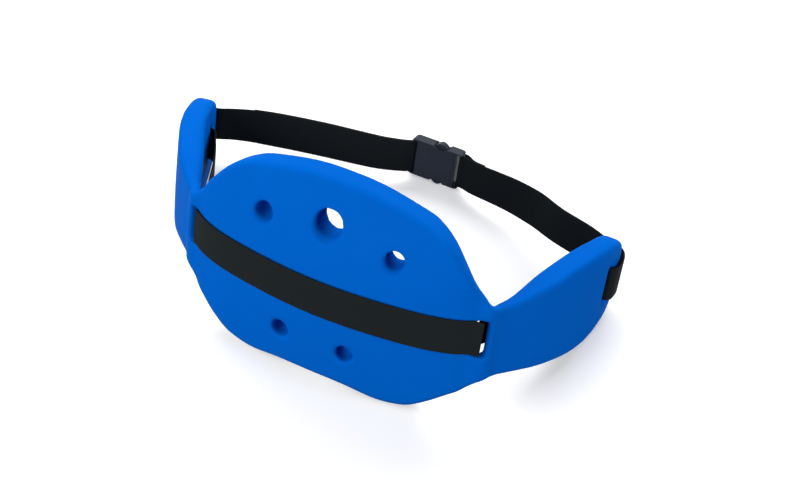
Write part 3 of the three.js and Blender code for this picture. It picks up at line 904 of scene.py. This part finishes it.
class BELT_OT_webbing_strap(bpy.types.Operator):
    """Lay a narrow grid along the strap's route, give it its thickness and round its selvages"""

    bl_idname = "belt.webbing_strap"
    bl_label = "Webbing strap"

    def execute(self, context):
        settings = context.scene.belt_strap
        line = eased(strap_route(), STRAP_STEPS)
        share = np.linspace(-1, 1, STRAP_COLUMNS + 1)
        width = settings.width / MM
        lean = line[:, 3:4]
        laid = np.empty((len(line), len(share), 3))
        laid[..., 0] = line[:, 0:1]
        laid[..., 1] = line[:, 1:2] + lean / 2 * share
        laid[..., 2] = line[:, 2:3] + np.sqrt(width**2 - lean**2) / 2 * share
        strap = grid_laid("woven_strap", laid)
        run = np.concatenate([[0], np.cumsum(np.linalg.norm(np.diff(line[:, :2], axis=0), axis=1))])
        self.map_weave(strap, run * MM, share * settings.width / 2)
        alone(strap)
        bpy.ops.object.mode_set(mode="EDIT")
        bpy.ops.mesh.select_all(action="SELECT")
        bpy.ops.mesh.normals_make_consistent(inside=False)
        bpy.ops.object.mode_set(mode="OBJECT")
        apply_modifier(strap, "SOLIDIFY", thickness=settings.thick, offset=0, use_even_offset=True)
        apply_modifier(
            strap,
            "BEVEL",
            width=settings.thick * SELVAGE_SHARE,
            segments=BEVEL_SEGMENTS,
            limit_method="ANGLE",
            angle_limit=SELVAGE_ANGLE,
        )
        alone(strap)
        bpy.ops.object.shade_smooth_by_angle(angle=STRAP_SMOOTH_ANGLE)
        dressed(strap, "webbing_strap", webbing_material())
        return {"FINISHED"}

    def map_weave(self, strap, run, across):
        """A UV map in metres along and across the strap, from the grid's own order of rows."""
        mesh = strap.data
        old = np.empty(len(mesh.loops) * 2)
        mesh.uv_layers[0].data.foreach_get("uv", old)
        old = old.reshape(-1, 2)
        row = np.rint(old[:, 0] * (len(run) - 1)).astype(int)
        column = np.rint(old[:, 1] * (len(across) - 1)).astype(int)
        mesh.uv_layers[0].data.foreach_set("uv", np.stack([run[row], across[column]], axis=1).ravel())
        mesh.uv_layers[0].name = "weave"


BUCKLE_SEAT = Matrix.Translation((0, BUCKLE_DEPTH * MM, 0)) @ Matrix.Rotation(math.pi / 2, 4, "X")


def plate(name, outline, thick, bevel=0.0):
    """A plate in the buckle's own plane, its outline over the strap's length and height."""
    thing = slab(name, outline, thick, bevel)
    placed(thing, BUCKLE_SEAT)
    return thing


def block(low, high, height, thick, right=SQUARE_CORNER, left=None, bevel=0.0, middle=0.0):
    """A block between two places along the strap."""
    outline = rounded_outline(high - low, height, right, left)
    return plate("block", [(x + (low + high) / 2, y + middle) for x, y in outline], thick, bevel)


def strap_bar(at, height):
    """The rounded bar that a strap end goes round."""
    bar = slab("bar", rounded_outline(BAR_WIDTH, BAR_THICK, BAR_CORNER), height)
    placed(bar, Matrix.Translation(Vector((at, BUCKLE_DEPTH, 0)) * MM))
    return bar


def dip_circle(up, clear):
    """The round tool that dips into the socket's sides where the fingers press."""
    wide = WINDOW_TO - WINDOW_FROM
    radius = wide * wide / (8 * WINDOW_DIP) + WINDOW_DIP / 2
    height = SOCKET_HEIGHT / 2 - WINDOW_DIP + radius
    middle = (WINDOW_FROM + WINDOW_TO) / 2
    outline = []
    for step in range(DIP_SIDES):
        angle = 2 * math.pi * step / DIP_SIDES
        x = middle + (radius - clear) * math.cos(angle)
        outline.append((x, up * height + (radius - clear) * math.sin(angle)))
    return plate("dip", outline, SOCKET_THICK + CUT_PAST)


def arch(points):
    """A smooth outline through a few points."""
    return [tuple(place) for place in through(points, np.linspace(0, 1, ARCH_STEPS + 1))]


def prong(up):
    """A springy prong whose belly stands in the socket's window."""
    middle = (WINDOW_FROM + WINDOW_TO) / 2
    outer = arch(
        [
            (PLUG_FROM + JOIN, PRONG_ROOT + PRONG_WIDE),
            (WINDOW_TO - JOIN, PRONG_BELLY - 2 * JOIN),
            (middle, PRONG_BELLY),
            (WINDOW_FROM + JOIN, PRONG_BELLY - 2 * JOIN),
            (PRONG_TO, PRONG_TIP),
        ]
    )
    inner = [
        (PRONG_TO, PRONG_TIP - PRONG_WIDE / 2),
        (middle, PRONG_BELLY - PRONG_WIDE - JOIN),
        (PLUG_FROM + JOIN, PRONG_ROOT),
    ]
    outline = [(x, up * y) for x, y in outer + inner]
    return plate("prong", outline[::-1] if up > 0 else outline, PRONG_THICK, PRONG_BEVEL)


def press_pad(up, bevel):
    """The pad at a prong's belly that fills the dip in the socket's side."""
    low, high = WINDOW_FROM + 2 * PAD_CLEAR, WINDOW_TO - 2 * PAD_CLEAR
    edge = SOCKET_HEIGHT / 2
    foot = edge - 2 * WINDOW_DIP
    third = (high - low) / 3
    crest = [
        (low, edge),
        (low + third, edge + PAD_CREST),
        (high - third, edge + PAD_SHOULDER),
        (high, edge - PAD_FALL),
    ]
    outline = [(x, up * y) for x, y in arch(crest) + [(high, foot), (low, foot)]]
    pad = plate("pad", outline if up < 0 else outline[::-1], PAD_THICK, bevel)
    cut(pad, dip_circle(up, PAD_CLEAR / 2), "INTERSECT")
    return pad


class BELT_OT_buckle_socket(bpy.types.Operator):
    """Bevel a plate for the socket, hollow it, open its windows and mouth, and add its bar"""

    bl_idname = "belt.buckle_socket"
    bl_label = "Buckle socket"

    def execute(self, context):
        bevel = context.scene.belt_buckle.bevel / MM
        long = SOCKET_TO + CUT_PAST
        body = block(SOCKET_FROM, long, SOCKET_HEIGHT, SOCKET_THICK, MOUTH_CORNER, SOCKET_CORNER, bevel)
        named("buckle_socket_half")
        cut(body, block(SOCKET_TO, long + CUT_PAST, SOCKET_HEIGHT + CUT_PAST, SOCKET_THICK + CUT_PAST))
        cut(body, block(CAVITY_FROM, SOCKET_TO + CUT_PAST, CAVITY_HEIGHT, CAVITY_THICK))
        for up in (-1, 1):
            middle = up * (WINDOW_INNER + SOCKET_HEIGHT / 2)
            cut(body, block(WINDOW_FROM, WINDOW_TO, SOCKET_HEIGHT, CAVITY_THICK, middle=middle))
            cut(body, dip_circle(up, 0))
        inside = SOCKET_THICK - 2 * PLATE_THICK
        cut(body, block(SOCKET_FROM - CUT_PAST, MOUTH_TO, MOUTH_HEIGHT, inside))
        notch = block(SOCKET_FROM - CUT_PAST, PLATE_FROM, MOUTH_HEIGHT, SOCKET_THICK)
        placed(notch, Matrix.Translation((0, -PLATE_THICK * MM, 0)))
        cut(body, notch)
        cut(body, strap_bar(SOCKET_BAR_AT, MOUTH_HEIGHT + 2 * BAR_PAST), "UNION")
        finish_plastic(body)
        dressed(body, "buckle_socket", shared_plastic())
        return {"FINISHED"}


def finish_plastic(body):
    """Softens the edges that the cuts left and smooths what is round."""
    apply_modifier(
        body,
        "BEVEL",
        width=CUT_BEVEL * MM,
        segments=BEVEL_SEGMENTS,
        limit_method="ANGLE",
        angle_limit=BEVEL_ANGLE,
    )
    alone(body)
    bpy.ops.object.shade_smooth_by_angle(angle=PLASTIC_SMOOTH_ANGLE)
    apply_modifier(body, "WEIGHTED_NORMAL", keep_sharp=True)


class BELT_OT_buckle_plug(bpy.types.Operator):
    """Join the plug's base, stem, bar, prongs, press pads and tongue"""

    bl_idname = "belt.buckle_plug"
    bl_label = "Buckle plug"

    def execute(self, context):
        bevel = context.scene.belt_buckle.bevel / MM
        body = self.base(bevel)
        named("buckle_plug_half")
        cut(body, block(PLUG_WINDOW_FROM, PLUG_TO + CUT_PAST, PLUG_WINDOW_HEIGHT, PLUG_THICK + CUT_PAST))
        cut(body, block(PLUG_FROM, PLUG_BASE + JOIN, STEM_HEIGHT, STEM_THICK), "UNION")
        bar = strap_bar(PLUG_BAR_AT, PLUG_WINDOW_HEIGHT + 2 * BAR_PAST)
        cut(bar, self.base(bevel), "INTERSECT")
        cut(body, bar, "UNION")
        for up in (-1, 1):
            cut(body, prong(up), "UNION")
            cut(body, press_pad(up, bevel), "UNION")
        cut(body, block(TONGUE_TO, PLUG_FROM + JOIN, TONGUE_WIDE, TONGUE_THICK), "UNION")
        finish_plastic(body)
        dressed(body, "buckle_plug", shared_plastic())
        return {"FINISHED"}

    def base(self, bevel):
        """The plug's outer block, square where it meets the socket."""
        long = PLUG_BASE - CUT_PAST
        body = block(long, PLUG_TO, PLUG_HEIGHT, PLUG_THICK, PLUG_CORNER, BASE_CORNER, bevel)
        cut(body, block(long - CUT_PAST, PLUG_BASE, PLUG_HEIGHT + CUT_PAST, PLUG_THICK + CUT_PAST))
        return body


def looking_from(azimuth, elevation):
    """The direction from the belt to a place round it, by its azimuth from the front and its elevation."""
    level = math.cos(elevation)
    return Vector((math.sin(azimuth) * level, -math.cos(azimuth) * level, math.sin(elevation)))


def area_light(name, place, aim, size, power):
    """A square soft light that looks at a point."""
    bpy.ops.object.light_add(type="AREA", location=place)
    light = bpy.context.active_object
    light.name = name
    light.data.size = size
    light.data.energy = power
    light.rotation_euler = (Vector(aim) - Vector(place)).to_track_quat("-Z", "Y").to_euler()


def floor_material():
    """A pale floor with painted light: it glows by emission, a little near the belt, and fades into the
    white background with distance.
    """
    settings = bpy.context.scene.belt_stage
    colour = tuple(settings.floor_colour)
    material, nodes, links, shader = material_of("pale_floor", colour, FLOOR_ROUGHNESS, FLOOR_SPECULAR)
    shader.inputs["Emission Color"].default_value = (1, 1, 1, 1)
    where = nodes.new("ShaderNodeTexCoord")
    away = nodes.new("ShaderNodeVectorMath")
    away.operation = "LENGTH"
    links.new(where.outputs["Object"], away.inputs[0])
    fade = nodes.new("ShaderNodeMapRange")
    fade.inputs["From Min"].default_value = FADE_FROM
    fade.inputs["From Max"].default_value = FADE_TO
    # Painted light: the floor glows by emission, least near the belt and as bright as the background far
    # off.
    fade.inputs["To Min"].default_value = settings.painted_floor_light
    fade.inputs["To Max"].default_value = settings.background
    links.new(away.outputs["Value"], fade.inputs["Value"])
    links.new(fade.outputs["Result"], shader.inputs["Emission Strength"])
    return material


def white_studio():
    """White surroundings that are seen behind the belt and throw no light on it."""
    world = bpy.data.worlds.new("white_studio")
    world.use_nodes = True
    background = world.node_tree.nodes["Background"].inputs
    background["Color"].default_value = (1, 1, 1, 1)
    background["Strength"].default_value = bpy.context.scene.belt_stage.background
    world.cycles_visibility.diffuse = False
    world.cycles_visibility.glossy = False
    return world


class BELT_OT_studio_stage(bpy.types.Operator):
    """Add the pale floor, the soft lights and the camera"""

    bl_idname = "belt.studio_stage"
    bl_label = "Studio stage"

    def execute(self, context):
        settings = context.scene.belt_stage
        bpy.ops.object.select_all(action="DESELECT")
        bpy.ops.mesh.primitive_plane_add(size=FLOOR_SIZE)
        floor = named("floor")
        floor.data.materials.append(floor_material())
        floor.visible_diffuse = False
        context.scene.world = white_studio()
        for azimuth, elevation, size, share in LIGHTS:
            place = looking_from(math.radians(azimuth), math.radians(elevation)) * LIGHT_AWAY
            area_light("studio_light", place, LIGHT_AIM, size, share * settings.light_power)
        self.add_camera(context)
        context.scene.view_settings.view_transform = "Standard"
        return {"FINISHED"}

    def add_camera(self, context):
        """The photograph's camera, turned with the belt onto the table."""
        azimuth, elevation = CAMERA_AZIMUTH, CAMERA_ELEVATION
        back = looking_from(azimuth, elevation)
        level = Vector((math.cos(azimuth), math.sin(azimuth), 0))
        above = back.cross(level)
        right = level * math.cos(CAMERA_ROLL) + above * math.sin(CAMERA_ROLL)
        up = above * math.cos(CAMERA_ROLL) - level * math.sin(CAMERA_ROLL)
        eye = (right * AIM_RIGHT + up * AIM_UP + back * DISTANCE) * MM
        bpy.ops.object.camera_add()
        camera = context.active_object
        camera.data.sensor_fit = "HORIZONTAL"
        camera.data.sensor_width = SENSOR
        camera.data.lens = SENSOR * FOCAL_PIXELS / IMAGE_WIDTH
        turn = Matrix((right, up, back)).transposed().to_4x4()
        camera.matrix_world = STANCE @ Matrix.Translation(eye) @ turn
        context.scene.camera = camera


class BELT_PT_panel(bpy.types.Panel):
    """Lists the belt's pieces and their settings"""

    bl_idname = "BELT_PT_panel"
    bl_label = "Aqua jogging belt"
    bl_space_type = "VIEW_3D"
    bl_region_type = "UI"
    bl_category = "Belt"

    def draw(self, context):
        scene = context.scene
        parts = (
            (scene.belt_float, ("belt.foam_float",)),
            (scene.belt_strap, ("belt.webbing_strap",)),
            (scene.belt_buckle, ("belt.buckle_socket", "belt.buckle_plug")),
            (scene.belt_stage, ("belt.studio_stage",)),
        )
        for settings, operators in parts:
            box = self.layout.box()
            for key in settings.__annotations__:
                box.prop(settings, key)
            for operator in operators:
                box.operator(operator)


CLASSES = (
    FloatSettings,
    StrapSettings,
    BuckleSettings,
    StageSettings,
    BELT_OT_foam_float,
    BELT_OT_webbing_strap,
    BELT_OT_buckle_socket,
    BELT_OT_buckle_plug,
    BELT_OT_studio_stage,
    BELT_PT_panel,
)


def register():
    """Registers the classes and hangs the settings on the scene."""
    for made in CLASSES:
        bpy.utils.register_class(made)
    bpy.types.Scene.belt_float = bpy.props.PointerProperty(type=FloatSettings)
    bpy.types.Scene.belt_strap = bpy.props.PointerProperty(type=StrapSettings)
    bpy.types.Scene.belt_buckle = bpy.props.PointerProperty(type=BuckleSettings)
    bpy.types.Scene.belt_stage = bpy.props.PointerProperty(type=StageSettings)


def unregister():
    """Takes the settings and the classes away again."""
    del bpy.types.Scene.belt_stage
    del bpy.types.Scene.belt_buckle
    del bpy.types.Scene.belt_strap
    del bpy.types.Scene.belt_float
    for made in reversed(CLASSES):
        bpy.utils.unregister_class(made)


def main():
    """Makes every piece and the stage."""
    register()
    bpy.ops.belt.foam_float()
    bpy.ops.belt.buckle_socket()
    bpy.ops.belt.buckle_plug()
    bpy.ops.belt.webbing_strap()
    bpy.ops.belt.studio_stage()


if __name__ == "__main__":
    main()
